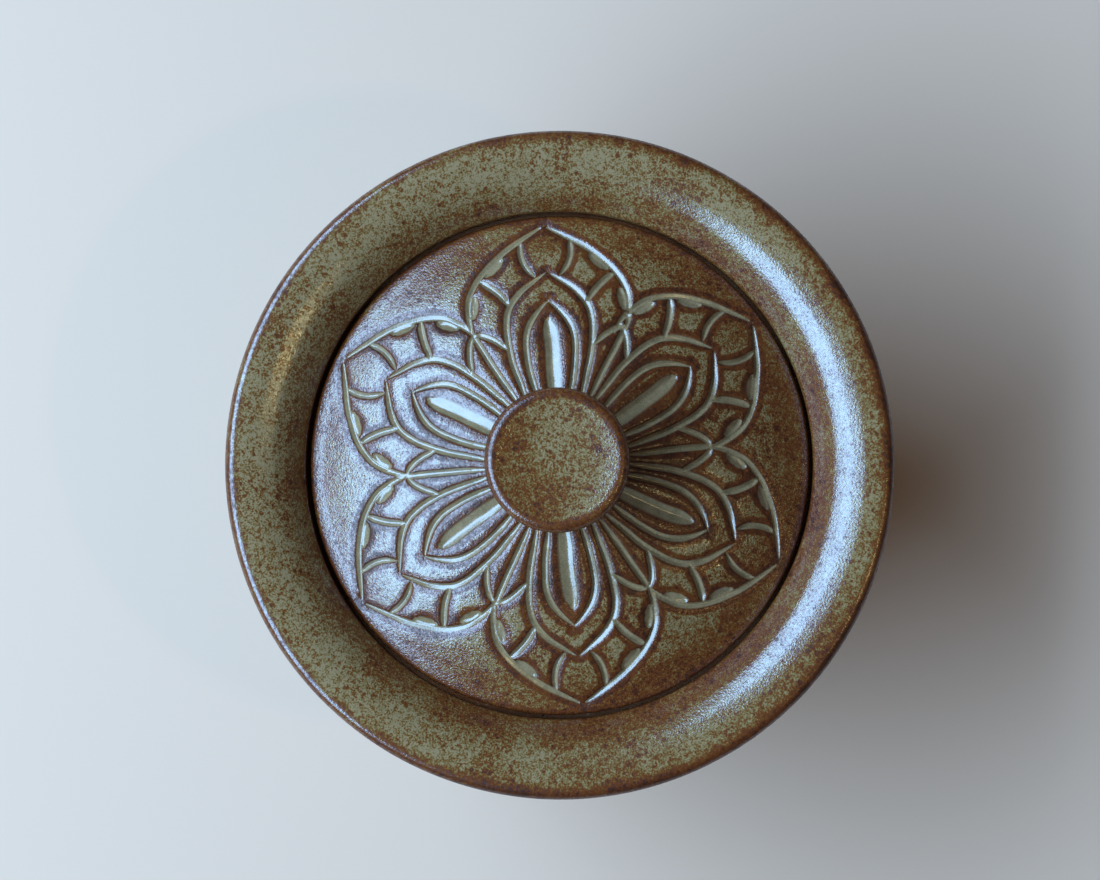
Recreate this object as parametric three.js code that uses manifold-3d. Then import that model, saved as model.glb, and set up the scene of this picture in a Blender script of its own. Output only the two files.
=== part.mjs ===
// A stoneware incense burner: a footed bowl with a wide flared rim, an ash bed with a coil of incense
// on it, and a domed lid, carved with a six-petal lotus, that drops into a gallery inside the throat.
// Millimetres, +Z up. The origin is the centre of the foot, on the surface that the burner stands on.

import * as THREE from "three";
import { mergeVertices } from "three/addons/utils/BufferGeometryUtils.js";
import Module from "manifold-3d";

const wasm = await Module();
wasm.setup();

// Driving dimensions
const TURN_SEGMENTS = 60; // flats round each wide piece
const SMALL_SEGMENTS = 36; // and round the knob
const WELD = 0.05; // the carved lid's vertices closer than this are joined
const JOINT_GAP = 0.3; // air between pieces that touch

const footHeight = 12;
const footTopRadius = 33.5;
const footBaseRadius = 36;
const footWellRadius = 27.5;

const rimCrownRadius = 63.3; // the highest circle of the flared rim
const rimHeight = 78;
const flareRadius = 16; // the flare is an arc of this radius, seen from the side
const lipRadius = 1.7; // half the thickness of the rolled lip
const throatRadius = 50.2;

const ledgeHeight = 65; // the gallery floor that the lid rests on
const ledgeInnerRadius = 45.4;
const bowlFloor = 21; // inside height of the bowl's floor

const ashTop = 41;
const coilRodRadius = 1.25;
const coilTurns = 4;
const coilPitch = 5.2; // distance from one turn to the next
const coilStartRadius = 4.5;

const lidRadius = 49.2;
const lidEdge = 4.7; // thickness at the lid's edge
const domeThickness = 4.6;
const domeSlope = 0.0915; // the dome falls by slope * r + bend * r^2 from its apex
const domeBend = 0.00465;
const carveDepth = 0.9;
const petalCount = 6;
const firstPetalAngle = THREE.MathUtils.degToRad(95);

const flangeOuterRadius = 44.2;
const flangeInnerRadius = 41.4;
const flangeDepth = 5.5;

const knobRadius = 13.7;
const knobStemRadius = 8.6;
const knobHeight = 13.4;
const knobDish = 1.6; // depth of the hollow in the knob's top

// Derived heights
const bowlBase = footHeight + JOINT_GAP;
const lidBottom = ledgeHeight + JOINT_GAP;
const lidShoulder = lidBottom + lidEdge;
const domeFall = (r) => domeSlope * r + domeBend * r * r;
const domeApex = lidShoulder + domeFall(lidRadius - 0.6);
const domeHeight = (r) => domeApex - domeFall(r);

// Finishes
const finish = (color, roughness, metalness = 0) =>
  new THREE.MeshStandardMaterial({ color, roughness, metalness });
const ashGlaze = finish(0x7d7148, 0.25);
const bareClay = finish(0x8a5334, 0.85);
const ash = finish(0xb9b4aa, 1);
const incense = finish(0x5a3b24, 0.9);

// Points of a circular arc in the (r, z) plane, from one angle to another in degrees.
function arc(centreR, centreZ, radius, from, to, steps) {
  return Array.from({ length: steps + 1 }, (_, i) => {
    const angle = THREE.MathUtils.degToRad(from + ((to - from) * i) / steps);
    return [centreR + radius * Math.cos(angle), centreZ + radius * Math.sin(angle)];
  });
}

// A smooth curve through a few (r, z) points.
function smooth(points, steps) {
  const curve = new THREE.SplineCurve(points.map(([r, z]) => new THREE.Vector2(r, z)));
  return curve.getPoints(steps).map((p) => [p.x, p.y]);
}

// Turns an (r, z) outline about the Z axis. The outline runs up the outside and back down the inside,
// from the axis to the axis, or round a ring to where it began.
function turned(outline, segments = TURN_SEGMENTS) {
  const points = outline.map(([r, z]) => new THREE.Vector2(Math.max(r, 0), z));
  return new THREE.LatheGeometry(points, segments).rotateX(Math.PI / 2);
}

function closedRing(outline) {
  return turned([...outline, outline[0]]);
}

// A three.js geometry as a manifold-3d solid, and back.
function solid(geometry) {
  const bare = new THREE.BufferGeometry();
  bare.setAttribute("position", geometry.getAttribute("position"));
  bare.setIndex(geometry.getIndex());
  const merged = mergeVertices(bare, 1e-3);
  return new wasm.Manifold(
    new wasm.Mesh({
      numProp: 3,
      vertProperties: merged.getAttribute("position").array,
      triVerts: new Uint32Array(merged.getIndex().array),
    }),
  );
}

function geometryOf(manifold) {
  const mesh = manifold.getMesh();
  const geometry = new THREE.BufferGeometry();
  geometry.setAttribute("position", new THREE.BufferAttribute(mesh.vertProperties, 3));
  geometry.setIndex(new THREE.BufferAttribute(mesh.triVerts, 1));
  geometry.computeVertexNormals();
  return geometry;
}

function piece(name, geometry, material) {
  const mesh = new THREE.Mesh(geometry, material);
  mesh.name = name;
  return mesh;
}

// The bowl: rounded belly, neck, rolled lip, convex flare, gallery with its ledge, and the inside.
function bowlGeometry() {
  const flareCentreZ = rimHeight - flareRadius;
  const throatAngle = 180 - THREE.MathUtils.radToDeg(
    Math.acos((rimCrownRadius - throatRadius) / flareRadius),
  );
  const outside = smooth(
    [[34, bowlBase], [39, 14.6], [48.6, 23.5], [54.8, 35], [56.6, 46.5], [55.3, 56], [54.4, 63.5],
      [56.4, 70.4], [rimCrownRadius, rimHeight - 2 * lipRadius]],
    14,
  );
  const lip = arc(rimCrownRadius, rimHeight - lipRadius, lipRadius, -90, 90, 5).slice(1);
  const flare = arc(rimCrownRadius, flareCentreZ, flareRadius, 90, throatAngle, 5).slice(1);
  const gallery = [[throatRadius, ledgeHeight + 0.5], [throatRadius - 0.5, ledgeHeight],
    [ledgeInnerRadius + 0.6, ledgeHeight], [ledgeInnerRadius, ledgeHeight - 0.6],
    [ledgeInnerRadius, ledgeHeight - 2]];
  const inside = smooth(
    [[50, 57.5], [52, 47], [50.4, 36], [44.6, 27], [34, 22.2], [22, bowlFloor]],
    8,
  );
  return turned([[0, bowlBase], ...outside, ...lip, ...flare, ...gallery, ...inside, [0, bowlFloor]]);
}

// The foot ring, thrown by itself and luted under the bowl. It spreads a little towards the ground.
function footRingGeometry() {
  return closedRing([
    [footWellRadius + 1.2, 0], [footBaseRadius - 0.9, 0], [footBaseRadius, 0.9],
    [footBaseRadius - 0.8, 3.4], [footTopRadius - 0.6, 7.4], [footTopRadius, footHeight],
    [footWellRadius, footHeight], [footWellRadius, 1.2],
  ]);
}

// Fine ash, levelled inside the bowl and hollowed slightly towards the wall.
function ashBedGeometry() {
  const wall = smooth([[21.5, bowlFloor + JOINT_GAP], [34, 22.9], [44, 27.6], [49.7, 36.2], [50.9, 40]], 6);
  return turned([[0, bowlFloor + JOINT_GAP], ...wall, [50.6, ashTop - 0.8], [46, ashTop - 0.4],
    [40, ashTop], [0, ashTop]]);
}

// The incense coil: a flat spiral of pressed rod that lies on the ash.
class FlatSpiral extends THREE.Curve {
  getPoint(t, target = new THREE.Vector3()) {
    const radius = coilStartRadius + coilPitch * coilTurns * t;
    const angle = 2 * Math.PI * coilTurns * t;
    const height = ashTop + JOINT_GAP + coilRodRadius;
    return target.set(radius * Math.cos(angle), radius * Math.sin(angle), height);
  }
}

function incenseCoilGeometry() {
  const section = new THREE.Shape();
  section.absarc(0, 0, coilRodRadius, 0, 2 * Math.PI);
  return new THREE.ExtrudeGeometry(section, {
    extrudePath: new FlatSpiral(),
    steps: 72,
    curveSegments: 4,
  });
}

// Carving strokes of one petal, as [sideways, outwards] points from the lid's centre, with the
// greatest half width of the tool. Each is cut again in the mirror unless it lies on the centre line.
const petalStrokes = [
  { name: "outline", width: 0.6, path: [[-0.8, 47.7], [8.7, 42.3], [14.8, 35.4], [15.6, 29], [14.2, 24.6]] },
  { name: "stem", width: 0.6, path: [[15.6, 27.1], [10.8, 18.8], [6.6, 11.5]] },
  { name: "middle", width: 0.6, path: [[-0.8, 38.3], [5.6, 33.4], [8.2, 27.2], [7.5, 20.3], [5.2, 11.5]] },
  { name: "inner", width: 0.55, path: [[-0.7, 32.4], [3.7, 27.2], [4.6, 22.6], [2.9, 11.8]] },
  { name: "scoop", width: 1.4, path: [[0, 28.4], [0, 19.5], [0, 11.2]] },
  { name: "topRib", width: 0.45, path: [[5.1, 44.8], [4.9, 41], [2.9, 37.3]] },
  { name: "middleRib", width: 0.45, path: [[12.9, 37.2], [10, 35.2], [7.6, 32]] },
  { name: "lowRib", width: 0.45, path: [[14.6, 26.4], [11.6, 25.7], [8.5, 23.2]] },
];

// One stroke as an upright prism: widest at its middle and pointed at both ends, as a cut is.
function strokePrism({ width, path }, mirror) {
  const curve = new THREE.SplineCurve(path.map(([side, out]) => new THREE.Vector2(mirror * side, out)));
  const steps = 2 * path.length - 2;
  const left = [];
  const right = [];
  for (let i = 1; i < steps; i++) {
    const t = i / steps;
    const middle = curve.getPoint(t);
    const across = curve.getTangent(t).rotateAround(new THREE.Vector2(), Math.PI / 2);
    const reach = width * Math.min(1, 1.6 * Math.sin(Math.PI * t));
    left.push(middle.clone().addScaledVector(across, reach));
    right.push(middle.clone().addScaledVector(across, -reach));
  }
  const outline = [curve.getPoint(0), ...left, curve.getPoint(1), ...right.reverse()];
  const prism = new THREE.ExtrudeGeometry(new THREE.Shape(outline), {
    depth: domeApex - lidBottom + 5,
    bevelEnabled: false,
  });
  return prism.translate(0, 0, lidBottom);
}

// Everything that the tool takes away, down to a layer that follows the dome.
function carving() {
  const cuts = [];
  for (const stroke of petalStrokes) {
    const onCentre = stroke.path.every(([side]) => side === 0);
    const mirrors = onCentre || stroke.name === "stem" ? [1] : [1, -1];
    for (const mirror of mirrors) cuts.push(strokePrism(stroke, mirror));
  }
  const petals = [];
  for (let k = 0; k < petalCount; k++) {
    const turn = firstPetalAngle - Math.PI / 2 + (k * 2 * Math.PI) / petalCount;
    for (const cut of cuts) petals.push(solid(cut.clone().rotateZ(turn)));
  }
  const strokes = wasm.Manifold.union(petals);
  return strokes.subtract(solid(domeUnder(carveDepth)));
}

// A plain solid with the dome's form, lowered by a depth.
function domeUnder(depth) {
  const radii = [lidRadius + 2, 42, 34, 25, 16, 0];
  const top = radii.map((r) => [r, domeHeight(r) - depth]);
  return turned([[0, lidBottom - 2], [lidRadius + 2, lidBottom - 2], ...top]);
}

// The lid: a dome with a rounded edge and a hollow underside, before it is carved.
function lidBlank() {
  const shoulderRadius = 0.9;
  const top = [42, 34, 25, 16, 8, 0].map((r) => [r, domeHeight(r)]);
  const under = [0, 16, 28, 38, 40.2].map((r) => [r, domeHeight(r) - domeThickness]);
  return turned([
    ...under,
    [40.8, lidBottom + 0.8], [41.2, lidBottom],
    [lidRadius - 0.8, lidBottom], [lidRadius, lidBottom + 0.8],
    ...arc(lidRadius - shoulderRadius, lidShoulder - shoulderRadius, shoulderRadius, 0, 70, 3),
    ...top,
  ]);
}

function lidDomeGeometry() {
  return geometryOf(solid(lidBlank()).subtract(carving()).asOriginal().simplify(WELD));
}

// The locating ring under the lid, which keeps it from sliding off its ledge.
function lidFlangeGeometry() {
  const top = lidBottom - JOINT_GAP;
  const bottom = top - flangeDepth;
  return closedRing([
    [flangeInnerRadius + 0.7, bottom], [flangeOuterRadius - 0.7, bottom],
    [flangeOuterRadius, bottom + 0.8], [flangeOuterRadius, top],
    [flangeInnerRadius, top], [flangeInnerRadius, bottom + 0.8],
  ]);
}

// The knob: a waisted stem that spreads to a disc with a round rim and a dished top.
function lidKnobGeometry() {
  const base = domeHeight(0) + JOINT_GAP;
  const top = domeHeight(knobStemRadius) + knobHeight;
  const rim = 1.3;
  const foot = (r) => domeHeight(r) + JOINT_GAP;
  const stem = smooth(
    [[knobStemRadius + 1.6, foot(knobStemRadius + 1.6)], [knobStemRadius - 0.2, foot(0) + 2.2],
      [knobStemRadius - 0.4, foot(0) + 5], [knobRadius - 2.6, top - 3.4], [knobRadius - rim, top - 2 * rim]],
    7,
  );
  const dish = [0.7, 0.35, 0].map((share) => {
    const r = share * (knobRadius - rim);
    return [r, top - knobDish * (1 - share * share)];
  });
  const round = arc(knobRadius - rim, top - rim, rim, -90, 90, 5).slice(1);
  return turned([[0, base], [4, foot(4)], ...stem, ...round, ...dish], SMALL_SEGMENTS);
}

const bowlParts = new THREE.Group();
bowlParts.add(
  piece("bowl", bowlGeometry(), ashGlaze),
  piece("foot_ring", footRingGeometry(), bareClay),
  piece("ash_bed", ashBedGeometry(), ash),
  piece("incense_coil", incenseCoilGeometry(), incense),
);

const lidParts = new THREE.Group();
lidParts.add(
  piece("lid_dome", lidDomeGeometry(), ashGlaze),
  piece("lid_flange", lidFlangeGeometry(), bareClay),
  piece("lid_knob", lidKnobGeometry(), ashGlaze),
);

const burner = new THREE.Group();
burner.add(bowlParts, lidParts);

export default burner;
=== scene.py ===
# A stoneware incense burner: a footed bowl with a flared rim, ash and an incense coil inside, and a
# drop-in lid carved with a lotus. Everything is in metres, Z up, in the frame of the CAD model.
import math

import bmesh
import bpy
from mathutils import Euler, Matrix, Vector
from mathutils.kdtree import KDTree


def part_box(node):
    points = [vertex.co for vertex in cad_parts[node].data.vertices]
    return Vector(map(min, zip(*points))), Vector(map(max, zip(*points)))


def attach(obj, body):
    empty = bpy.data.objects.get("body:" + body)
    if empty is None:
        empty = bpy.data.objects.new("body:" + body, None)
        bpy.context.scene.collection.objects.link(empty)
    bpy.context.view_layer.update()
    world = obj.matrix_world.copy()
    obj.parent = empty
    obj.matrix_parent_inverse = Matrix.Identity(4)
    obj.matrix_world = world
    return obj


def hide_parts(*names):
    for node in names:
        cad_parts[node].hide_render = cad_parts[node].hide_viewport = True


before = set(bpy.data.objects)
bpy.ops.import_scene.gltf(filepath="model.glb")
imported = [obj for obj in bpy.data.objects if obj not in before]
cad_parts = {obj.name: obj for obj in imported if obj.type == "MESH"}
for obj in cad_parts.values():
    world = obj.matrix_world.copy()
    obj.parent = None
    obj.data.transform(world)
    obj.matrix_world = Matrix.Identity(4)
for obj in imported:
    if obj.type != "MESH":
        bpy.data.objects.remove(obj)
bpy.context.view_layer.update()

mm = 0.001


# node trees are written as Python expressions, with the two classes below

class Wire:
    # one output socket; Python's operators on it add Math nodes
    def __init__(self, tree, socket):
        self.tree, self.socket = tree, socket

    def __add__(self, other):
        return maths("ADD", self, other)

    def __radd__(self, other):
        return maths("ADD", other, self)

    def __sub__(self, other):
        return maths("SUBTRACT", self, other)

    def __rsub__(self, other):
        return maths("SUBTRACT", other, self)

    def __mul__(self, other):
        return maths("MULTIPLY", self, other)

    def __rmul__(self, other):
        return maths("MULTIPLY", other, self)

    def __truediv__(self, other):
        return maths("DIVIDE", self, other)

    def __rtruediv__(self, other):
        return maths("DIVIDE", other, self)

    def __neg__(self):
        return maths("MULTIPLY", self, -1.0)

    def step(self, low, high, toLow=0.0, toHigh=1.0):
        # a soft step from toLow at low to toHigh at high
        return self.tree.add("ShaderNodeMapRange", {"interpolation_type": "SMOOTHSTEP"},
                             {"Value": self, "From Min": low, "From Max": high,
                              "To Min": toLow, "To Max": toHigh})

    def part(self, name):
        # another output of the same node
        return Wire(self.tree, pick(self.socket.node.outputs, name))


def pick(sockets, name=None):
    # by number, by name, or the first that the node's settings leave in use
    if isinstance(name, int):
        return sockets[name]
    return next(s for s in sockets if s.enabled and name in (None, s.name))


def setStops(ramp, stops):
    for place, colour in stops[2:]:
        ramp.elements.new(place)
    for element, (place, colour) in zip(ramp.elements, stops):
        element.position, element.color = place, colour


def maths(operation, *values):
    tree = next(v.tree for v in values if isinstance(v, Wire))
    return tree.add("ShaderNodeMath", {"operation": operation}, dict(enumerate(values)))


class Tree:
    # a node tree that is being built; given holds the wires of a geometry tree's named inputs
    def __init__(self, nodeTree):
        self.nodeTree = nodeTree
        self.given = {}

    def add(self, kind, settings=None, values=None, out=None):
        node = self.nodeTree.nodes.new(kind)
        for name, value in (settings or {}).items():
            if name == "stops":
                setStops(node.color_ramp, value)
            else:
                setattr(node, name, value)
        for name, value in (values or {}).items():
            socket = pick(node.inputs, name)
            for one in value if isinstance(value, list) else [value]:
                if isinstance(one, Wire):
                    self.nodeTree.links.new(one.socket, socket)
                else:
                    socket.default_value = one
        return Wire(self, pick(node.outputs, out)) if len(node.outputs) else node

    def vector(self, operation, a, b=None, scale=None, out=None):
        values = {0: a}
        if b is not None:
            values[1] = b
        if scale is not None:
            values["Scale"] = scale
        return self.add("ShaderNodeVectorMath", {"operation": operation}, values, out)

    def noise(self, place, perMetre, detail=2.0, roughness=0.5, seed=0.0, out=None):
        return self.add("ShaderNodeTexNoise", {"noise_dimensions": "4D"},
                        {"Vector": place, "Scale": perMetre, "Detail": detail,
                         "Roughness": roughness, "W": seed}, out)

    def blend(self, factor, first, second):
        return self.add("ShaderNodeMix", {"data_type": "RGBA"},
                        {"Factor": factor, "A": first, "B": second})

    def store(self, geometry, name, value):
        return self.add("GeometryNodeStoreNamedAttribute", {"data_type": "FLOAT", "domain": "POINT"},
                        {"Geometry": geometry, "Name": name, "Value": value})


def geometryTree(name, inputs):
    # inputs maps each named input to its socket type
    group = bpy.data.node_groups.new(name, "GeometryNodeTree")
    tree = Tree(group)
    for label, kind in inputs.items():
        group.interface.new_socket(label, in_out="INPUT", socket_type="NodeSocket" + kind)
    group.interface.new_socket("Geometry", in_out="OUTPUT", socket_type="NodeSocketGeometry")
    entry = group.nodes.new("NodeGroupInput")
    tree.given = {label: Wire(tree, entry.outputs[label]) for label in inputs}
    return tree


def endTree(tree, geometry, material):
    # every geometry tree ends like this
    realized = tree.add("GeometryNodeRealizeInstances", {}, {"Geometry": geometry})
    smooth = tree.add("GeometryNodeSetShadeSmooth", {}, {"Geometry": realized})
    finished = tree.add("GeometryNodeSetMaterial", {}, {"Geometry": smooth, "Material": material})
    tree.add("NodeGroupOutput", {}, {"Geometry": finished})


def grow(name, tree, values, mesh=None):
    # runs a geometry tree on a mesh, and returns its result as a plain mesh object
    source = bpy.data.objects.new(name + "Source", mesh or bpy.data.meshes.new(name + "Source"))
    bpy.context.scene.collection.objects.link(source)
    modifier = source.modifiers.new("grow", "NODES")
    modifier.node_group = tree.nodeTree
    for item in tree.nodeTree.interface.items_tree:
        if item.in_out == "INPUT" and item.name in values:
            modifier[item.identifier] = values[item.name]
    seen = source.evaluated_get(bpy.context.evaluated_depsgraph_get())
    made = bpy.data.meshes.new_from_object(seen, preserve_all_data_layers=True,
                                           depsgraph=bpy.context.evaluated_depsgraph_get())
    bpy.data.objects.remove(source)
    made.name = name
    finish = [one for one in made.materials if one]
    made.materials.clear()          # a primitive leaves an empty slot in front
    for one in finish:
        made.materials.append(one)
    made.polygons.foreach_set("material_index", [0] * len(made.polygons))
    piece = bpy.data.objects.new(name, made)
    bpy.context.scene.collection.objects.link(piece)
    return piece


def curveObject(name, splines):
    # splines are lists of (point, radius, tilt); the object only feeds geometry trees
    curve = bpy.data.curves.new(name, "CURVE")
    curve.dimensions = "3D"
    for points in splines:
        spline = curve.splines.new("POLY")
        spline.points.add(len(points) - 1)
        for target, (place, radius, tilt) in zip(spline.points, points):
            target.co = (*place, 1.0)
            target.radius, target.tilt = radius, tilt
    return bpy.data.objects.new(name, curve)


# outlines are lists of (radius, height)

def arc(centreR, centreZ, radius, start, end, steps):
    angles = [math.radians(start + (end - start) * i / steps) for i in range(steps + 1)]
    return [(centreR + radius * math.cos(a), centreZ + radius * math.sin(a)) for a in angles]


def smoothLine(points, steps):
    # a Catmull-Rom curve through a few points, with the same number of steps in each stretch
    padded = [Vector(points[0]) * 2 - Vector(points[1]), *map(Vector, points),
              Vector(points[-1]) * 2 - Vector(points[-2])]
    line = []
    for a, b, c, d in zip(padded, padded[1:], padded[2:], padded[3:]):
        for i in range(steps):
            t = i / steps
            line.append(0.5 * (2 * b + (c - a) * t + (2 * a - 5 * b + 4 * c - d) * t * t
                               + (3 * b - a - 3 * c + d) * t * t * t))
    return [tuple(p) for p in line] + [tuple(points[-1])]


def straight(first, last, steps):
    return [tuple(Vector(first).lerp(Vector(last), i / steps)) for i in range(steps + 1)]


def joined(*stretches):
    # stretches end to end, without doubled points
    outline = []
    for stretch in stretches:
        for point in stretch:
            if not outline or (Vector(point) - Vector(outline[-1])).length > 0.02 * mm:
                outline.append(tuple(point))
    return outline


def lengthTo(outline, point):
    # distance along the outline to the corner nearest to a point
    best, total, found = 1e9, 0.0, 0.0
    for before, here in zip([outline[0], *outline], outline):
        total += (Vector(here) - Vector(before)).length
        gap = (Vector(here) - Vector(point)).length
        if gap < best:
            best, found = gap, total
    return found


# the wheel turns an outline about the Z axis

def wheelTree():
    tree = geometryTree("wheel", {
        "Outline": "Object", "Segments": "Int", "Wobble": "Float", "Ring depth": "Float",
        "Ring spacing": "Float", "Glaze from": "Float", "Glaze to": "Float",
        "Glaze thickness": "Float", "Seed": "Float", "Material": "Material"})
    given = tree.given
    outline = tree.add("GeometryNodeObjectInfo", {"transform_space": "ORIGINAL"},
                       {"Object": given["Outline"]}, "Geometry")
    stations = tree.add("GeometryNodeAttributeDomainSize", {"component": "CURVE"},
                        {"Geometry": outline}, "Point Count")
    sheet = tree.add("GeometryNodeMeshGrid", {},
                     {"Size X": 1.0, "Size Y": 1.0, "Vertices X": given["Segments"] + 1,
                      "Vertices Y": stations}, "Mesh")
    place = tree.add("GeometryNodeInputPosition")
    apart = tree.add("ShaderNodeSeparateXYZ", {}, {0: place}, "X")
    turn = (apart + 0.5) * math.tau
    station = maths("ROUND", (apart.part("Y") + 0.5) * (stations - 1.0))

    def sampled(kind, value):
        return tree.add("GeometryNodeSampleIndex", {"data_type": kind, "domain": "POINT"},
                        {"Geometry": outline, "Value": value, "Index": station})

    section = tree.add("ShaderNodeSeparateXYZ", {}, {0: sampled("FLOAT_VECTOR", place)}, "X")
    along = sampled("FLOAT", tree.add("GeometryNodeSplineParameter", out="Length"))
    turned = tree.add("ShaderNodeCombineXYZ", {},
                      {"X": section * maths("COSINE", turn), "Y": section * maths("SINE", turn),
                       "Z": section.part("Z")})
    kept = tree.store(sheet, "along", along)
    bent = tree.add("GeometryNodeSetPosition", {}, {"Geometry": kept, "Position": turned})
    closed = tree.add("GeometryNodeMergeByDistance", {}, {"Geometry": bent, "Distance": 0.001 * mm})

    # where the glaze lies, with a wandering edge
    wander = tree.noise(place, 90.0, 3.0, seed=given["Seed"]) - 0.5
    length = tree.add("GeometryNodeInputNamedAttribute", {"data_type": "FLOAT"}, {"Name": "along"})
    line = length + wander * 3.0 * mm
    glazed = ((line - given["Glaze from"]).step(0.0, 0.5 * mm)
              * (given["Glaze to"] - line).step(0.0, 0.5 * mm))
    marked = tree.store(closed, "glazed", glazed)

    # the potter's hand: slow wobble, a spiral of finger ridges, and the glaze's own thickness
    here = tree.add("ShaderNodeSeparateXYZ", {}, {0: place}, "X")
    fromAxis = maths("SQRT", here * here + here.part("Y") * here.part("Y"))
    angle = maths("ARCTAN2", here.part("Y"), here)
    wobble = (tree.noise(place, 14.0, 1.0, seed=given["Seed"] + 3.0) - 0.5) * given["Wobble"]
    climb = (fromAxis + here.part("Z")) / given["Ring spacing"]
    drift = tree.noise(place, 25.0, 2.0, seed=given["Seed"] + 7.0) * 0.8
    ridge = maths("SINE", (climb + drift) * math.tau - angle) * given["Ring depth"]
    lift = (wobble + ridge) * fromAxis.step(1.0 * mm, 6.0 * mm) + glazed * given["Glaze thickness"]
    normal = tree.add("GeometryNodeInputNormal")
    moved = tree.add("GeometryNodeSetPosition", {},
                     {"Geometry": marked, "Offset": tree.vector("SCALE", normal, scale=lift)})
    endTree(tree, moved, given["Material"])
    return tree


def throwPiece(name, outline, look, material, glazedStretch=None):
    # one piece off the wheel; glazedStretch is a pair of corners of the outline
    profile = curveObject(name + "Outline", [[((r, 0.0, z), 1.0, 0.0) for r, z in outline]])
    first, last = 1.0, -1.0      # no glaze anywhere
    if glazedStretch:
        first, last = (lengthTo(outline, corner) for corner in glazedStretch)
        if glazedStretch[1][0] == 0:
            last += 10.0 * mm       # right over the pole
    piece = grow(name, wheel, {
        "Outline": profile, "Segments": look["segments"], "Wobble": look["wobble"],
        "Ring depth": look["ringDepth"], "Ring spacing": look["ringSpacing"], "Glaze from": first,
        "Glaze to": last, "Glaze thickness": look["glazeThickness"], "Seed": look["seed"],
        "Material": material})
    bpy.data.objects.remove(profile)
    return piece


def finishPiece(piece, body, node):
    # every finished piece rides on its body and stands for its CAD node
    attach(piece, body)
    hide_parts(node)
    print("made", piece.name, len(piece.data.polygons), "faces")


wheel = wheelTree()


# materials

def newMaterial(name):
    material = bpy.data.materials.new(name)
    material.use_nodes = True
    tree = Tree(material.node_tree)
    material.node_tree.nodes.clear()
    return material, tree


def endMaterial(tree, values):
    shader = tree.add("ShaderNodeBsdfPrincipled", {}, values)
    tree.add("ShaderNodeOutputMaterial", {}, {"Surface": shader})


# cloud, mottle, fleck and tiny are noises, with a number of waves per metre and a strength; the spots
# have a number per metre and a size; wander, pits and peel are numbers of waves per metre
glazeLook = {
    "stops": [(0.00, (0.300, 0.230, 0.125, 1)), (0.26, (0.215, 0.160, 0.064, 1)),
              (0.44, (0.172, 0.094, 0.026, 1)), (0.58, (0.165, 0.053, 0.011, 1)),
              (0.84, (0.105, 0.026, 0.006, 1)), (1.00, (0.048, 0.013, 0.005, 1))],
    "pooled": (0.360, 0.290, 0.160, 1), "poolDeep": (0.190, 0.155, 0.085, 1),
    "cloud": (95.0, 0.9), "mottle": (430.0, 0.7), "fleck": (1250.0, 1.6), "tiny": (2900.0, 2.2),
    "bigSpots": (430.0, 0.20), "smallSpots": (800.0, 0.22), "spotIron": 0.42, "wander": 260.0,
    "thickIron": 0.25, "thinIron": 0.47, "calm": 0.45,
    "rustBand": (0.75, 1.35), "rustBandStrength": 1.2, "crust": 0.75, "pits": 2500.0, "peel": 650.0,
    "roughness": 0.08, "index": 1.90, "sheen": (0.68, 0.85, 1.0, 1),
    "dryRoughness": 0.42, "seed": 4.0}

clayLook = {
    "toasted": (0.300, 0.110, 0.045, 1), "sandy": (0.420, 0.215, 0.105, 1),
    "grog": (0.520, 0.400, 0.270, 1), "iron": (0.050, 0.022, 0.014, 1),
    "roughness": 0.82, "grit": 0.05}


def clayColour(tree, place):
    # toasted stoneware with pale grog and dark iron specks; returns colour and height
    cloud = tree.noise(place, 60.0, 3.0, seed=21.0)
    grain = tree.noise(place, 1500.0, 3.0, 0.7, seed=22.0)
    grog = tree.noise(place, 900.0, 1.0, seed=23.0).step(0.66, 0.70)
    iron = tree.noise(place, 700.0, 1.0, seed=24.0).step(0.70, 0.73)
    body = tree.blend((cloud * 0.7 + grain * 0.5).step(0.4, 0.8), clayLook["toasted"],
                      clayLook["sandy"])
    colour = tree.blend(iron, tree.blend(grog * 0.7, body, clayLook["grog"]), clayLook["iron"])
    return colour, grain * 0.6 + grog * 0.8


def clayMaterial():
    material, tree = newMaterial("bareClay")
    place = tree.add("ShaderNodeTexCoord", out="Object")
    colour, height = clayColour(tree, place)
    bump = tree.add("ShaderNodeBump", {}, {"Strength": 1.0, "Distance": clayLook["grit"] * mm,
                                           "Height": height})
    endMaterial(tree, {"Base Color": colour, "Roughness": clayLook["roughness"], "Normal": bump})
    return material


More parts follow.
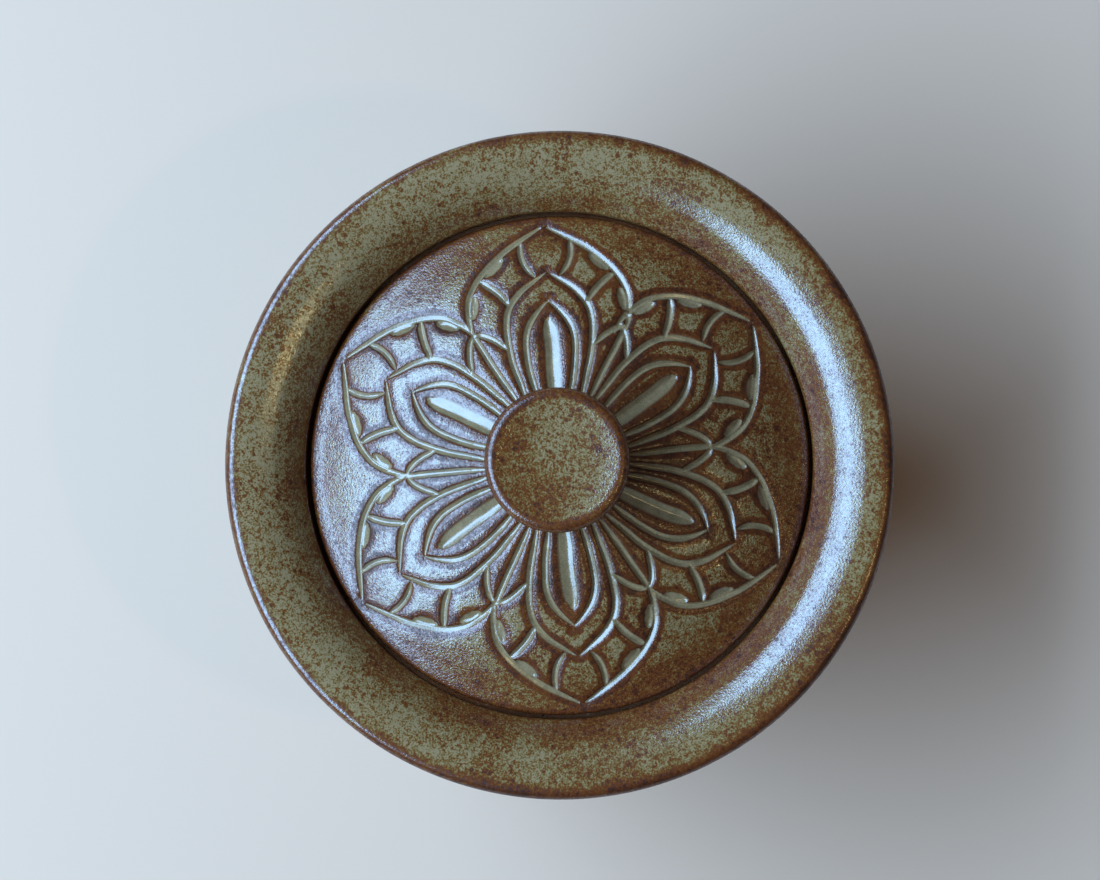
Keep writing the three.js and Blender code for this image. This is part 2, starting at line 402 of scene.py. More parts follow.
def glazeMaterial(name, rustAt, pitDepth, carved=False):
    # rustAt takes the place and the radius in mm and a slow noise, and returns how much thinner the
    # glaze is there, so that it breaks to rust; on the lid it also returns painted shade, as more iron
    # on the side away from the window light
    material, tree = newMaterial(name)
    place = tree.add("ShaderNodeTexCoord", out="Object")
    apart = tree.add("ShaderNodeSeparateXYZ", {}, {0: place}, "X")
    x, y, z = apart * 1000.0, apart.part("Y") * 1000.0, apart.part("Z") * 1000.0
    radius = maths("SQRT", x * x + y * y)
    seed = glazeLook["seed"]

    cloud = tree.noise(place, glazeLook["cloud"][0], 3.0, 0.55, seed) - 0.5
    mottle = tree.noise(place, glazeLook["mottle"][0], 2.0, 0.60, seed + 1.0) - 0.5
    fleck = tree.noise(place, glazeLook["fleck"][0], 2.0, 0.60, seed + 2.0) - 0.5
    tiny = tree.noise(place, glazeLook["tiny"][0], 1.0, 0.60, seed + 3.0) - 0.5
    wander = tree.noise(place, glazeLook["wander"], 3.0, 0.60, seed + 5.0) - 0.5

    # iron: round spots of two sizes, and patches where the glaze lies thin, which on the lid also hold
    # painted shade
    def spots(perMetre, size):
        away = tree.add("ShaderNodeTexVoronoi", {"feature": "F1"},
                        {"Vector": place, "Scale": perMetre}, "Distance")
        return (away + fleck * 0.35 - cloud * 0.35).step(size + 0.07, size - 0.05)

    # how thin the glaze lies; on the lid this also holds painted shade
    thinGlazeAndShade = rustAt(x, y, z, radius, wander)
    dots = maths("MAXIMUM", spots(*glazeLook["bigSpots"]), spots(*glazeLook["smallSpots"]) * 0.8)
    speckle = (mottle * glazeLook["mottle"][1] + fleck * glazeLook["fleck"][1]
               + tiny * glazeLook["tiny"][1] + dots * glazeLook["spotIron"])
    if carved:
        pool = tree.add("ShaderNodeAttribute", {"attribute_name": "pooled"}, out="Fac")
        beside = tree.add("ShaderNodeAttribute", {"attribute_name": "fromCut"}, out="Fac")
        pooled = pool.step(0.10, 0.40)
        # the band of rust along each cut's shoulder
        band = (beside + wander * 0.7).step(*glazeLook["rustBand"], glazeLook["rustBandStrength"], 0.0)
        thinGlazeAndShade = maths("MAXIMUM", thinGlazeAndShade, band)
    iron = (glazeLook["thickIron"] + cloud * glazeLook["cloud"][1]
            + speckle * (1.0 - thinGlazeAndShade * glazeLook["calm"]) + thinGlazeAndShade * glazeLook["thinIron"])
    colour = tree.add("ShaderNodeValToRGB", {"stops": glazeLook["stops"]}, {"Fac": iron},
                      "Color")
    if carved:
        deep = tree.blend(tiny * 1.2 + mottle * 1.6 + 0.5, glazeLook["poolDeep"],
                          glazeLook["pooled"])
        colour = tree.blend(pooled * 0.94, colour, deep)

    pits = tree.noise(place, glazeLook["pits"], 2.0, 0.55, seed + 6.0)
    peel = tree.noise(place, glazeLook["peel"], 1.0, 0.5, seed + 7.0)
    relief = pits + peel * 0.35
    if carved:
        relief = relief * (1.0 - pooled * 0.8)
    clay, clayHeight = clayColour(tree, place)
    glazed = tree.add("ShaderNodeAttribute", {"attribute_name": "glazed"}, out="Fac")
    coated = glazed.step(0.35, 0.65)
    colour = tree.blend(coated, clay, colour)
    crust = iron.step(0.58, 1.0) * glazeLook["crust"]
    if carved:
        crust = crust * (1.0 - pooled)
    height = relief * pitDepth * coated + clayHeight * clayLook["grit"] * (1.0 - coated)
    bump = tree.add("ShaderNodeBump", {}, {"Strength": 1.0, "Distance": mm, "Height": height})
    # the glaze is glossy where it is thick, and dry where the iron has come out as rust
    rough = glazeLook["roughness"] + iron * 0.16 + tiny * 0.12
    glossy = tree.add("ShaderNodeBsdfPrincipled", {},
                      {"Base Color": colour, "Roughness": rough, "Normal": bump,
                       "IOR": glazeLook["index"], "Specular Tint": glazeLook["sheen"]})
    dryRough = clayLook["roughness"] * (1.0 - coated) + glazeLook["dryRoughness"] * coated
    dry = tree.add("ShaderNodeBsdfPrincipled", {},
                   {"Base Color": colour, "Roughness": dryRough, "Normal": bump, "IOR": 1.5})
    dryness = 1.0 - coated * (1.0 - crust)
    mixed = tree.add("ShaderNodeMixShader", {}, {0: dryness, 1: glossy, 2: dry})
    tree.add("ShaderNodeOutputMaterial", {}, {"Surface": mixed})
    return material


# the bowl

bowlLook = {
    "flareRadius": 16.0 * mm, "lipRadius": 1.7 * mm, "throatRadius": 50.2 * mm,
    "ledgeInner": 45.4 * mm, "floor": 21.0 * mm, "segments": 288, "wobble": 0.35 * mm,
    "pitDepth": 0.06, "ringDepth": 0.015 * mm, "ringSpacing": 4.2 * mm,
    "glazeThickness": 0.22 * mm, "seed": 1.0}


def bowlRust(x, y, z, radius, wander):
    lip = (radius + wander * 2.6).step(61.6, 64.2)
    throat = (radius + wander * 4.0).step(57.0, 51.5) * z.step(60.0, 64.0)
    shoulder = (z + wander * 8.0).step(30.0, 17.0) * 0.8
    inside = radius.step(51.5, 50.0) * z.step(66.0, 65.0) * 1.2
    flame = (x - y * 0.8 + wander * 60.0).step(-70.0, 90.0) * 0.45     # the side that faced the fire
    upper = maths("MAXIMUM", lip, throat * 0.55)
    worn = maths("MAXIMUM", upper, maths("MAXIMUM", shoulder, inside))
    return worn + flame - 0.15


def makeBowl():
    low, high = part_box("bowl")
    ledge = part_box("lid_dome")[0].z - 0.3 * mm
    lip, throat, inner = bowlLook["lipRadius"], bowlLook["throatRadius"], bowlLook["ledgeInner"]
    crown, rim, base, floor = high.x - lip, high.z, low.z, bowlLook["floor"]
    flare = bowlLook["flareRadius"]
    throatAngle = 180 - math.degrees(math.acos((crown - throat) / flare))
    wall = smoothLine([(34.0 * mm, base), (39.0 * mm, 14.6 * mm), (48.6 * mm, 23.5 * mm),
                       (54.8 * mm, 35.0 * mm), (56.6 * mm, 46.5 * mm), (55.3 * mm, 56.0 * mm),
                       (54.4 * mm, 63.5 * mm), (56.4 * mm, 70.4 * mm), (crown, rim - 2 * lip)], 12)
    inside = smoothLine([(inner, ledge - 2.0 * mm), (50.0 * mm, 57.5 * mm), (52.0 * mm, 47.0 * mm),
                         (50.4 * mm, 36.0 * mm), (44.6 * mm, 27.0 * mm), (34.0 * mm, 22.2 * mm),
                         (22.0 * mm, floor)], 8)
    outline = joined(
        straight((0, base), (34.0 * mm, base), 12), wall,
        arc(crown, rim - lip, lip, -90, 90, 14),
        arc(crown, rim - flare, flare, 90, throatAngle, 34),
        straight((throat, ledge + 3.5 * mm), (throat, ledge + 0.8 * mm), 5),
        arc(throat - 0.8 * mm, ledge + 0.8 * mm, 0.8 * mm, 0, -90, 5),
        straight((throat - 1.2 * mm, ledge), (inner + 1.0 * mm, ledge), 5),
        arc(inner + 0.8 * mm, ledge - 0.8 * mm, 0.8 * mm, 90, 180, 5), inside,
        straight((22.0 * mm, floor), (0, floor), 8))
    glazed = ((37.5 * mm, 14.0 * mm), (throat, ledge + 2.2 * mm))
    material = glazeMaterial("bowlGlaze", bowlRust, bowlLook["pitDepth"])
    finishPiece(throwPiece("glazedBowl", outline, bowlLook, material, glazed),
                "bowl", "bowl")


# the foot

footLook = {
    "segments": 200, "wobble": 0.2 * mm, "ringDepth": 0.04 * mm, "ringSpacing": 1.7 * mm,
    "glazeThickness": 0.0, "seed": 2.0, "raise": 0.12 * mm}


def makeFoot(material):
    low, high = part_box("foot_ring")
    base, top, edge = low.z + footLook["raise"], high.z, high.x
    well = edge - 8.5 * mm
    seam = top + 0.7 * mm      # runs up into the bowl, where it is luted on
    outline = joined(
        arc(well + 1.2 * mm, base + 1.2 * mm, 1.2 * mm, 180, 270, 4),
        straight((well + 1.6 * mm, base), (edge - 1.2 * mm, base), 6),
        arc(edge - 0.9 * mm, base + 0.9 * mm, 0.9 * mm, -90, 0, 6),
        smoothLine([(edge, base + 0.9 * mm), (edge - 0.8 * mm, base + 3.4 * mm),
                    (edge - 3.1 * mm, base + 7.4 * mm), (edge - 2.7 * mm, top - 0.6 * mm),
                    (edge - 1.6 * mm, seam)], 7),
        straight((edge - 1.6 * mm, seam), (well, seam), 6),
        straight((well, seam), (well, base + 1.2 * mm), 10))
    finishPiece(throwPiece("turnedFoot", outline, footLook, material), "bowl", "foot_ring")


# the lid

lidLook = {
    "segments": 300, "wobble": 0.25 * mm, "ringDepth": 0.02 * mm, "ringSpacing": 3.8 * mm,
    "glazeThickness": 0.0, "seed": 5.0, "fallSlope": 0.0915, "fallBend": 0.00465 / mm,
    "thickness": 4.6 * mm, "shoulder": 1.3 * mm, "seatInner": 41.2 * mm, "pitDepth": 0.10}

lotus = {
    "petals": 6, "firstAngle": math.radians(93.7), "creep": math.radians(0.5),
    "tilt": math.radians(0.4), "seed": 11, "wander": 0.55 * mm, "cutDepth": 0.62 * mm,
    "hollowDepth": 0.62 * mm, "shoulder": 0.15 * mm, "meshSize": 0.27 * mm}

# the strokes of one petal that points along +Y from the lid's centre: (sideways, outwards) in mm,
# with the half width of the tool; mirrored ones are cut on both sides, and a slanted cut is wider
# and less steep on its outer side
petalContours = [
    {"width": 0.80, "mirrored": True, "slant": 0.32,
     "path": [(-0.7, 47.7), (3.2, 45.4), (8.4, 41.9), (12.8, 37.7), (15.2, 33.5), (15.6, 30.1),
              (15.1, 26.3), (13.4, 23.2)]},
    {"width": 0.86, "mirrored": True, "slant": 0.32,
     "path": [(-0.2, 37.9), (2.3, 36.1), (5.3, 33.7), (7.5, 30.7), (8.2, 27.4), (8.0, 23.9),
              (7.4, 20.3), (6.4, 16.7), (5.6, 13.6), (5.0, 11.0)]},
    {"width": 0.84, "mirrored": True, "slant": 0.32,
     "path": [(-0.7, 32.4), (2.1, 29.6), (3.9, 26.8), (4.6, 23.8), (4.4, 19.9), (3.9, 16.7),
              (3.3, 14.0), (2.8, 11.2)]},
]
petalRibs = [
    {"width": 0.85, "mirrored": False,
     "path": [(15.6, 27.0), (13.2, 22.9), (10.0, 17.4), (6.3, 11.0)]},
    {"width": 0.78, "mirrored": True, "path": [(4.8, 44.6), (5.0, 42.0), (4.2, 39.2), (2.3, 36.6)]},
    {"width": 0.92, "mirrored": True, "path": [(13.5, 36.9), (11.5, 35.6), (9.3, 33.5), (7.4, 30.8)]},
    {"width": 0.78, "mirrored": True, "path": [(15.1, 26.0), (12.8, 25.5), (10.4, 24.2), (8.0, 22.2)]},
]
petalHollows = [
    {"width": 2.0, "mirrored": False, "slant": 0.2,
     "path": [(-0.3, 27.6), (-0.2, 25.4), (0, 22.0), (0, 16.0), (0, 10.5)]},
    {"width": 1.65, "mirrored": True, "path": [(11.8, 38.1), (10.5, 39.5), (9.0, 40.7)]},
    {"width": 1.60, "mirrored": True, "path": [(14.9, 29.7), (14.9, 31.4), (14.3, 33.0)]},
]


# rust where the lid's glaze lies thin, plus painted shade on the side away from the window light
def lidRustAndShade(x, y, z, radius, wander):
    edge = (radius + wander * 1.2).step(47.2, 48.3)
    field = (radius + wander * 9.0).step(38.0, 46.0) * 0.6
    paintedShade = (x - y * 0.3 + wander * 40.0).step(0.0, 46.0) * 0.22      # painted shade: darker glaze on the side away from the window light
    return maths("MAXIMUM", edge, field + paintedShade)


def cutLine(cut, mirror, endWidth):
    # one stroke of the tool, drawn out to a point at each end
    line = smoothLine([(side * mirror * mm, out * mm) for side, out in cut["path"]], 8)
    widths = []
    for i in range(len(line)):
        share = i / (len(line) - 1)
        swell = min(1.0, endWidth + (1 - endWidth) * math.sin(math.pi * share) ** 0.7 * 1.25)
        widths.append(cut["width"] * mm * swell)
    slant = cut.get("slant", 0.0) * mirror
    return [((x, y, 0.0), width, slant) for (x, y), width in zip(line, widths)]


def petalLines(cuts, endWidth):
    lines = []
    for cut in cuts:
        for mirror in (1, -1) if cut["mirrored"] else (1,):
            lines.append(cutLine(cut, mirror, endWidth))
    return lines


def refineNearCuts(mesh, lines):
    # the dome's faces are divided where the tool will pass, and left wide elsewhere
    marks = [place for line in lines for place, width, slant in line]
    nearby = KDTree(len(marks) * lotus["petals"])
    for k in range(lotus["petals"]):
        turn = lotus["firstAngle"] - math.pi / 2 + k * (math.tau / lotus["petals"] + lotus["creep"])
        c, s = math.cos(turn), math.sin(turn)
        for i, (x, y, z) in enumerate(marks):
            nearby.insert((c * x - s * y, s * x + c * y, 0.0), k * len(marks) + i)
    nearby.balance()
    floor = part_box("lid_dome")[0].z + 3.0 * mm
    work = bmesh.new()
    work.from_mesh(mesh)
    for reach in (1.7 * mm, 1.25 * mm):
        chosen = []
        for edge in work.edges:
            middle = (edge.verts[0].co + edge.verts[1].co) / 2
            if middle.z < floor or edge.calc_length() < lotus["meshSize"] * 1.3:
                continue
            if edge.verts[0].normal.z < 0.3:
                continue
            if nearby.find((middle.x, middle.y, 0.0))[2] < reach:
                chosen.append(edge)
        bmesh.ops.subdivide_edges(work, edges=chosen, cuts=1, use_grid_fill=True)
    work.to_mesh(mesh)
    work.free()


def carvingTree():
    tree = geometryTree("carving", {
        "Geometry": "Geometry", "Contours": "Object", "Ribs": "Object", "Hollows": "Object",
        "Petals": "Int", "First angle": "Float", "Creep": "Float", "Tilt": "Float", "Wander": "Float",
        "Cut depth": "Float", "Hollow depth": "Float", "Shoulder": "Float", "Floor": "Float",
        "Seed": "Int", "Material": "Material"})
    given = tree.given
    place = tree.add("GeometryNodeInputPosition")
    index = tree.add("GeometryNodeInputIndex")
    loose = tree.add("FunctionNodeRandomValue", {"data_type": "FLOAT"},
                     {"Min": -1.0, "Max": 1.0, "ID": index, "Seed": given["Seed"]})
    turn = (given["First angle"] - math.pi / 2 + index * (math.tau / given["Petals"] + given["Creep"])
            + loose * given["Tilt"])
    spots = tree.add("GeometryNodePoints", {}, {"Count": given["Petals"]})
    flat = tree.vector("MULTIPLY", place, (1.0, 1.0, 0.0))

    def around(which):
        # the strokes of one petal, repeated round the lid and drawn by a hand that isn't steady
        petal = tree.add("GeometryNodeObjectInfo", {"transform_space": "ORIGINAL"},
                         {"Object": given[which]}, "Geometry")
        spin = tree.add("ShaderNodeCombineXYZ", {}, {"Z": turn})
        ring = tree.add("GeometryNodeInstanceOnPoints", {},
                        {"Points": spots, "Instance": petal, "Rotation": spin})
        real = tree.add("GeometryNodeRealizeInstances", {}, {"Geometry": ring})
        even = tree.add("GeometryNodeResampleCurve", {"mode": "LENGTH"},
                        {"Curve": real, "Length": 0.2 * mm})
        shake = tree.vector("SUBTRACT", tree.noise(place, 85.0, 1.0, seed=6.0, out="Color"),
                            (0.5, 0.5, 0.5))
        shake = tree.vector("MULTIPLY", shake, (1.0, 1.0, 0.0))
        return tree.add("GeometryNodeSetPosition", {},
                        {"Geometry": even, "Offset": tree.vector("SCALE", shake,
                                                                 scale=given["Wander"])})

    def toolMark(which):
        # distance from the nearest stroke, and the reach of the tool on this side of it
        strokes = around(which)
        caught = tree.nodeTree.nodes.new("GeometryNodeCaptureAttribute")
        tree.nodeTree.links.new(strokes.socket, caught.inputs["Geometry"])
        for label, kind, source in (("Width", "FLOAT", "GeometryNodeInputRadius"),
                                    ("Slant", "FLOAT", "GeometryNodeInputCurveTilt"),
                                    ("Heading", "VECTOR", "GeometryNodeInputTangent")):
            caught.capture_items.new(kind, label)
            tree.nodeTree.links.new(tree.add(source).socket, caught.inputs[label])
        edges = tree.add("GeometryNodeCurveToMesh", {},
                         {"Curve": Wire(tree, caught.outputs["Geometry"])})
        away = tree.add("GeometryNodeProximity", {"target_element": "EDGES"},
                        {"Geometry": edges, "Sample Position": flat}, "Distance")
        nearest = tree.add("GeometryNodeSampleNearest", {},
                           {"Geometry": edges, "Sample Position": flat})

        def there(kind, value):
            return tree.add("GeometryNodeSampleIndex", {"data_type": kind, "domain": "POINT"},
                            {"Geometry": edges, "Value": value, "Index": nearest})

        half = there("FLOAT", Wire(tree, caught.outputs["Width"]))
        slant = there("FLOAT", Wire(tree, caught.outputs["Slant"]))
        heading = there("FLOAT_VECTOR", Wire(tree, caught.outputs["Heading"]))
        offset = tree.vector("SUBTRACT", flat, there("FLOAT_VECTOR", place))
        across = tree.add("ShaderNodeSeparateXYZ", {},
                          {0: tree.vector("CROSS_PRODUCT", heading, offset)}, "Z")
        side = maths("SIGN", across)
        return away, half, half * (1.0 + slant * side)

    apart = tree.add("ShaderNodeSeparateXYZ", {}, {0: place}, "X")
    normal = tree.add("GeometryNodeInputNormal")
    upward = tree.add("ShaderNodeSeparateXYZ", {}, {0: normal}, "Z").step(0.2, 0.4)
    onTop = apart.part("Z").step(given["Floor"], given["Floor"] + 1.0 * mm) * upward

    line, outside = 0.0, 5.0 * mm
    for which in ("Contours", "Ribs"):
        away, half, reach = toolMark(which)
        vee = (away / reach).step(1.15, -0.35) * 1.2 * (half / (0.7 * mm)).step(0.0, 1.0)
        line = maths("MAXIMUM", vee, line)
        outside = maths("MINIMUM", away - reach * 0.9, outside)
    away, half, reach = toolMark("Hollows")
    hollow = (away / reach).step(1.1, -0.1) * (half / (1.0 * mm)).step(0.1, 0.9)
    outside = maths("MINIMUM", away - reach * 0.95, outside)
    sunk = maths("MAXIMUM", line * given["Cut depth"], hollow * given["Hollow depth"]) * onTop
    worn = (outside / mm).step(1.3, -0.3) * given["Shoulder"] * onTop
    marked = tree.store(given["Geometry"], "pooled", maths("MAXIMUM", line, hollow) * onTop)
    marked = tree.store(marked, "fromCut", maths("MINIMUM", outside / mm, 5.0) * onTop
                        + (1.0 - onTop) * 5.0)
    inward = tree.vector("SCALE", normal, scale=-(sunk + worn))
    carved = tree.add("GeometryNodeSetPosition", {}, {"Geometry": marked, "Offset": inward})
    endTree(tree, carved, given["Material"])
    return tree


def makeLid():
    low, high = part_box("lid_dome")
    bottom, edge = low.z, high.x
    apex = high.z

    def dome(r):
        # the corner of the dome's outline at a radius
        return (r, apex - lidLook["fallSlope"] * r - lidLook["fallBend"] * r * r)

    soft, thick, seat = lidLook["shoulder"], lidLook["thickness"], lidLook["seatInner"]
    shoulder = dome(edge - 1.0 * mm)
    under = [(r * mm, dome(r * mm)[1] - thick) for r in (0, 5, 10, 16, 22, 28, 33, 37, 39)]
    topRadii = [46.9 - 0.85 * i for i in range(46)] + [6.5, 4.0, 2.0, 0.0]
    outline = joined(
        under, smoothLine([under[-1], (40.6 * mm, bottom + 1.6 * mm), (seat, bottom)], 4),
        straight((seat, bottom), (edge - 1.0 * mm, bottom), 6),
        arc(edge - 0.9 * mm, bottom + 0.9 * mm, 0.9 * mm, -90, 0, 5),
        straight((edge, bottom + 1.2 * mm), (edge, shoulder[1] - soft), 3),
        arc(edge - soft, shoulder[1] - soft + 0.25 * mm, soft, 5, 62, 6),
        [dome(r * mm) for r in topRadii])
    blank = throwPiece("lidBlank", outline, lidLook, None, ((edge - 1.0 * mm, bottom), (0, apex)))
    material = glazeMaterial("lidGlaze", lidRustAndShade, lidLook["pitDepth"], carved=True)
    strokes = {"Contours": petalLines(petalContours, 0.12), "Ribs": petalLines(petalRibs, 0.12),
               "Hollows": petalLines(petalHollows, 0.55)}
    refineNearCuts(blank.data, [line for lines in strokes.values() for line in lines])
    curves = {kind: curveObject("lotus" + kind, lines) for kind, lines in strokes.items()}
    lid = grow("carvedLid", carvingTree(), {
        **curves, "Petals": lotus["petals"], "First angle": lotus["firstAngle"],
        "Creep": lotus["creep"], "Tilt": lotus["tilt"], "Wander": lotus["wander"],
        "Cut depth": lotus["cutDepth"], "Hollow depth": lotus["hollowDepth"],
        "Shoulder": lotus["shoulder"], "Floor": bottom + 3.0 * mm, "Seed": lotus["seed"],
        "Material": material}, blank.data)
    for helper in (blank, *curves.values()):
        bpy.data.objects.remove(helper)
    finishPiece(lid, "lid", "lid_dome")
    return dome


# the ring under the lid

flangeLook = {
    "segments": 200, "wobble": 0.3 * mm, "ringDepth": 0.05 * mm, "ringSpacing": 1.6 * mm,
    "glazeThickness": 0.0, "seed": 6.0}


def makeFlange(material):
    low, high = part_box("lid_flange")
    bottom, outer = low.z, high.x
    inner, seam = outer - 2.8 * mm, high.z + 0.8 * mm
    outline = joined(
        arc(inner + 1.0 * mm, bottom + 1.0 * mm, 1.0 * mm, 180, 270, 5),
        arc(outer - 1.0 * mm, bottom + 1.0 * mm, 1.0 * mm, -90, 0, 5),
        straight((outer, bottom + 1.4 * mm), (outer, seam), 6),
        straight((outer, seam), (inner, seam), 3),
        straight((inner, seam), (inner, bottom + 1.0 * mm), 6))
    finishPiece(throwPiece("lidFlange", outline, flangeLook, material), "lid", "lid_flange")


# the knob

knobLook = {
    "segments": 144, "wobble": 0.2 * mm, "ringDepth": 0.025 * mm, "ringSpacing": 2.3 * mm,
    "glazeThickness": 0.0, "seed": 9.0, "rim": 1.65 * mm, "dish": 1.05 * mm, "stem": 8.6 * mm,
    "pitDepth": 0.08}


def knobRust(x, y, z, radius, wander):
    rim = (radius + wander * 1.6).step(11.0, 11.8)
    under = (z + wander * 3.0).step(96.0, 94.5)
    flame = (x + y * 0.5 + wander * 14.0).step(3.0, -9.0) * 0.55
    thick = (x + y * 0.8 + wander * 8.0).step(-3.0, 4.0) * 0.22
    return maths("MAXIMUM", maths("MAXIMUM", rim, under), flame - thick)


def makeKnob(dome):
    low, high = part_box("lid_knob")
    edge, top, rim, stem = high.x, high.z, knobLook["rim"], knobLook["stem"]
    base = dome(0)[1]
    skirt = (stem + 3.4 * mm, dome(stem + 3.4 * mm)[1] - 0.5 * mm)      # just inside the dome
    outline = joined(
        straight((0, base - 1.0 * mm), skirt, 8),
        smoothLine([skirt, (stem + 1.4 * mm, base + 0.3 * mm), (stem - 0.2 * mm, base + 2.5 * mm),
                    (stem - 0.4 * mm, base + 5.3 * mm), (edge - 2.6 * mm, top - 3.4 * mm),
                    (edge - rim, top - 2 * rim)], 7),
        arc(edge - rim, top - rim, rim, -90, 96, 14),
        [(share * (edge - rim), top - knobLook["dish"] * (1 - share ** 2.6))
         for share in (0.93, 0.88, 0.82, 0.75, 0.67, 0.58, 0.48, 0.37, 0.25, 0.12, 0.0)])
    material = glazeMaterial("knobGlaze", knobRust, knobLook["pitDepth"])
    glazed = (skirt, (0, top - knobLook["dish"]))
    finishPiece(throwPiece("lidKnob", outline, knobLook, material, glazed), "lid", "lid_knob")


# ash and incense

ashLook = {
    "segments": 160, "wobble": 0.5 * mm, "ringDepth": 0.0, "ringSpacing": 5.0 * mm,
    "glazeThickness": 0.0, "seed": 12.0, "pale": (0.60, 0.51, 0.42, 1), "grey": (0.40, 0.33, 0.27, 1)}


def ashMaterial():
    material, tree = newMaterial("paleAsh")
    place = tree.add("ShaderNodeTexCoord", out="Object")
    powder = tree.noise(place, 1400.0, 4.0, 0.75, 31.0)
    drift = tree.noise(place, 130.0, 3.0, 0.6, 32.0)
    colour = tree.blend((powder * 0.5 + drift * 0.6).step(0.35, 0.75), ashLook["grey"],
                        ashLook["pale"])
    bump = tree.add("ShaderNodeBump", {}, {"Strength": 1.0, "Distance": 0.25 * mm,
                                           "Height": powder * 0.6 + drift})
    endMaterial(tree, {"Base Color": colour, "Roughness": 0.95, "Normal": bump})
    return material


def makeAsh():
    low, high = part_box("ash_bed")
    top, floor, edge = high.z, low.z, high.x
    outline = joined(
        straight((0, floor), (21.0 * mm, floor), 5),
        smoothLine([(21.5 * mm, floor + 0.1 * mm), (34.0 * mm, 22.9 * mm), (44.0 * mm, 27.6 * mm),
                    (49.7 * mm, 36.2 * mm), (edge - 0.3 * mm, top - 1.2 * mm)], 5),
        arc(edge - 1.2 * mm, top - 1.2 * mm, 0.9 * mm, 0, 80, 4),
        [(share * edge, top - 0.35 * mm - 0.5 * mm * share ** 6)
         for share in [0.94 - 0.02 * i for i in range(47)] + [0.0]])
    finishPiece(throwPiece("ashBed", outline, ashLook, ashMaterial()), "bowl", "ash_bed")


coilLook = {
    "turns": 4.0, "innerRadius": 4.5 * mm, "pitch": 5.2 * mm, "seed": 3.0,
    "paste": (0.105, 0.048, 0.020, 1), "dry": (0.200, 0.105, 0.050, 1)}


def coilMaterial():
    material, tree = newMaterial("incensePaste")
    place = tree.add("ShaderNodeTexCoord", out="Object")
    fibre = tree.noise(place, 2200.0, 4.0, 0.7, 41.0)
    cloud = tree.noise(place, 260.0, 3.0, 0.6, 42.0)
    colour = tree.blend((fibre * 0.7 + cloud * 0.5).step(0.4, 0.8), coilLook["paste"],
                        coilLook["dry"])
    bump = tree.add("ShaderNodeBump", {}, {"Strength": 1.0, "Distance": 0.12 * mm, "Height": fibre})
    endMaterial(tree, {"Base Color": colour, "Roughness": 0.88, "Normal": bump})
    return material


def coilTree():
    tree = geometryTree("coil", {
        "Turns": "Float", "Inner radius": "Float", "Pitch": "Float", "Rod radius": "Float",
        "Height": "Float", "Seed": "Float", "Material": "Material"})
    given = tree.given
    spiral = tree.add("GeometryNodeCurveSpiral", {},
                      {"Resolution": 90, "Rotations": given["Turns"],
                       "Start Radius": given["Inner radius"],
                       "End Radius": given["Inner radius"] + given["Turns"] * given["Pitch"],
                       "Height": 0.0})
    rod = tree.add("GeometryNodeCurvePrimitiveCircle", {},
                   {"Resolution": 20, "Radius": given["Rod radius"]})
    pressed = tree.add("GeometryNodeCurveToMesh", {},
                       {"Curve": spiral, "Profile Curve": rod, "Fill Caps": True})
    place = tree.add("GeometryNodeInputPosition")
    normal = tree.add("GeometryNodeInputNormal")
    rough = (tree.noise(place, 420.0, 3.0, 0.6, given["Seed"]) - 0.62) * 0.25 * mm
    raised = tree.vector("ADD", tree.vector("SCALE", normal, scale=rough),
                         tree.add("ShaderNodeCombineXYZ", {}, {"Z": given["Height"]}))
    laid = tree.add("GeometryNodeSetPosition", {}, {"Geometry": pressed, "Offset": raised})
    endTree(tree, laid, given["Material"])
    return tree


def makeCoil():
    low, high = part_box("incense_coil")
    piece = grow("incenseCoil", coilTree(), {
        "Turns": coilLook["turns"], "Inner radius": coilLook["innerRadius"],
        "Pitch": coilLook["pitch"], "Rod radius": (high.z - low.z) / 2,
        "Height": (high.z + low.z) / 2, "Seed": coilLook["seed"], "Material": coilMaterial()})
    finishPiece(piece, "bowl", "incense_coil")


bareClay = clayMaterial()
makeBowl()
makeFoot(bareClay)
lidTop = makeLid()
makeFlange(bareClay)
makeKnob(lidTop)
makeAsh()
makeCoil()


# floor, light and camera

studio = {
    "floorSize": 6.0, "floor": (0.72, 0.57, 0.45, 1), "world": (0.85, 0.92, 1.0, 1),
    "worldStrength": 0.045, "windowColour": (0.50, 0.72, 1.0), "windowPower": 28.0,
    "windowSize": (1.6, 0.56), "windowPlace": (178.0, 43.0, 1.0),
    "lampColour": (1.0, 0.60, 0.22), "lampPower": 0.6, "lampSize": 0.05,
    "lampPlace": (-20.0, 32.0, 1.0)}

camera = {
    "lens": 85.0, "distance": 0.504, "lean": (2.35, 1.2, 0.0), "aside": (-1.67 * mm, 4.5 * mm)}


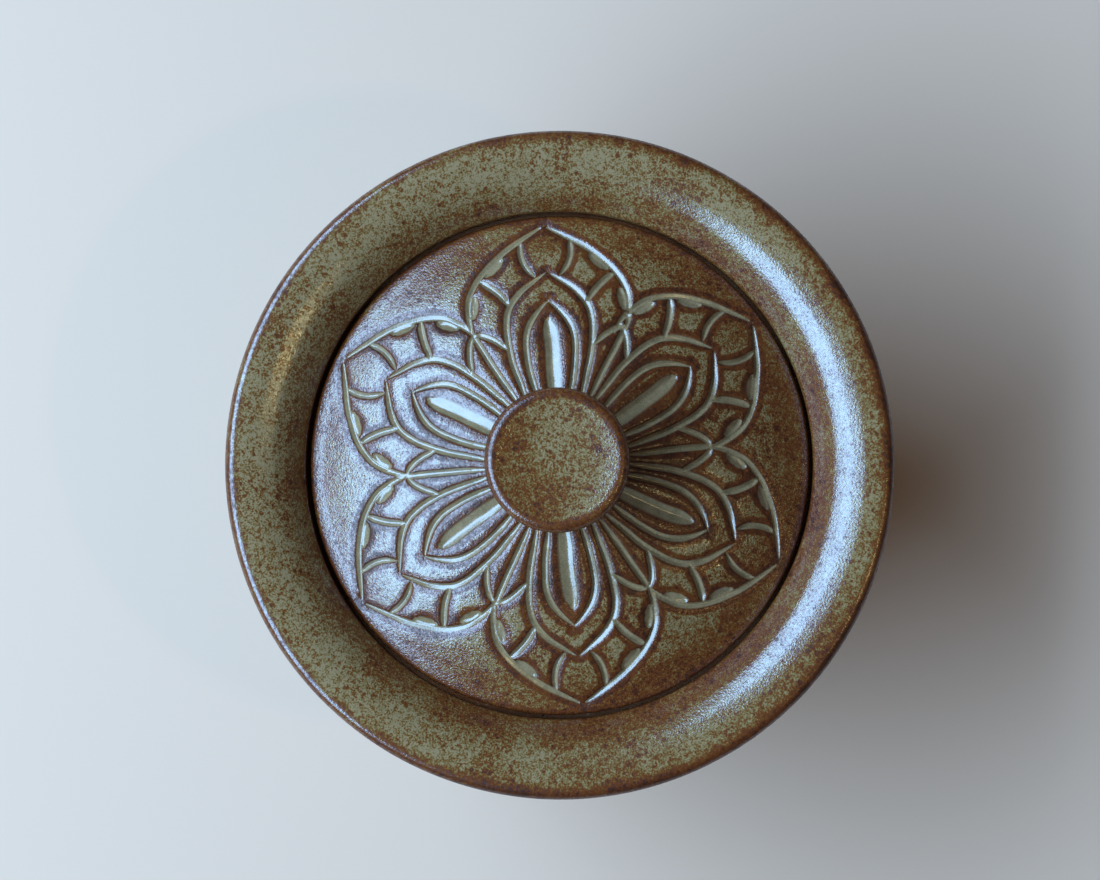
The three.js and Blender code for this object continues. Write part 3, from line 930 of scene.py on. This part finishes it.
def makeFloor():
    size = studio["floorSize"] / 2
    mesh = bpy.data.meshes.new("floor")
    mesh.from_pydata([(-size, -size, 0), (size, -size, 0), (size, size, 0), (-size, size, 0)], [],
                     [(0, 1, 2, 3)])
    floor = bpy.data.objects.new("floor", mesh)
    bpy.context.scene.collection.objects.link(floor)
    material, tree = newMaterial("paleFloor")
    endMaterial(tree, {"Base Color": studio["floor"], "Roughness": 0.7})
    mesh.materials.append(material)


def makeLight(name, colour, power, size, place):
    # place is azimuth and zenith angle in degrees, and distance
    azimuth, zenith, distance = math.radians(place[0]), math.radians(place[1]), place[2]
    lamp = bpy.data.lights.new(name, "AREA")
    lamp.shape = "RECTANGLE"
    lamp.size, lamp.size_y = size
    lamp.color, lamp.energy = colour, power
    light = bpy.data.objects.new(name, lamp)
    aim = Vector((0, 0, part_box("bowl")[1].z))
    away = Vector((math.sin(zenith) * math.cos(azimuth), math.sin(zenith) * math.sin(azimuth),
                   math.cos(zenith)))
    light.location = aim + away * distance
    light.rotation_euler = away.to_track_quat("Z", "Y").to_euler()
    bpy.context.scene.collection.objects.link(light)


def makeStudio():
    makeFloor()
    makeLight("window", studio["windowColour"], studio["windowPower"], studio["windowSize"],
              studio["windowPlace"])
    makeLight("lamp", studio["lampColour"], studio["lampPower"], (studio["lampSize"],) * 2,
              studio["lampPlace"])
    world = bpy.data.worlds.new("studio")
    world.use_nodes = True
    background = world.node_tree.nodes["Background"]
    background.inputs["Color"].default_value = studio["world"]
    background.inputs["Strength"].default_value = studio["worldStrength"]
    bpy.context.scene.world = world


def makeCamera():
    lens = bpy.data.cameras.new("camera")
    lens.lens, lens.sensor_width = camera["lens"], 36.0
    eye = bpy.data.objects.new("camera", lens)
    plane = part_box("bowl")[1].z
    lean = Euler([math.radians(angle) for angle in camera["lean"]])
    back = lean.to_matrix() @ Vector((0, 0, camera["distance"]))
    eye.location = Vector((*camera["aside"], plane)) + back
    eye.rotation_euler = lean
    bpy.context.scene.collection.objects.link(eye)
    bpy.context.scene.camera = eye


makeStudio()
makeCamera()
bpy.context.scene.view_settings.view_transform = "Standard"
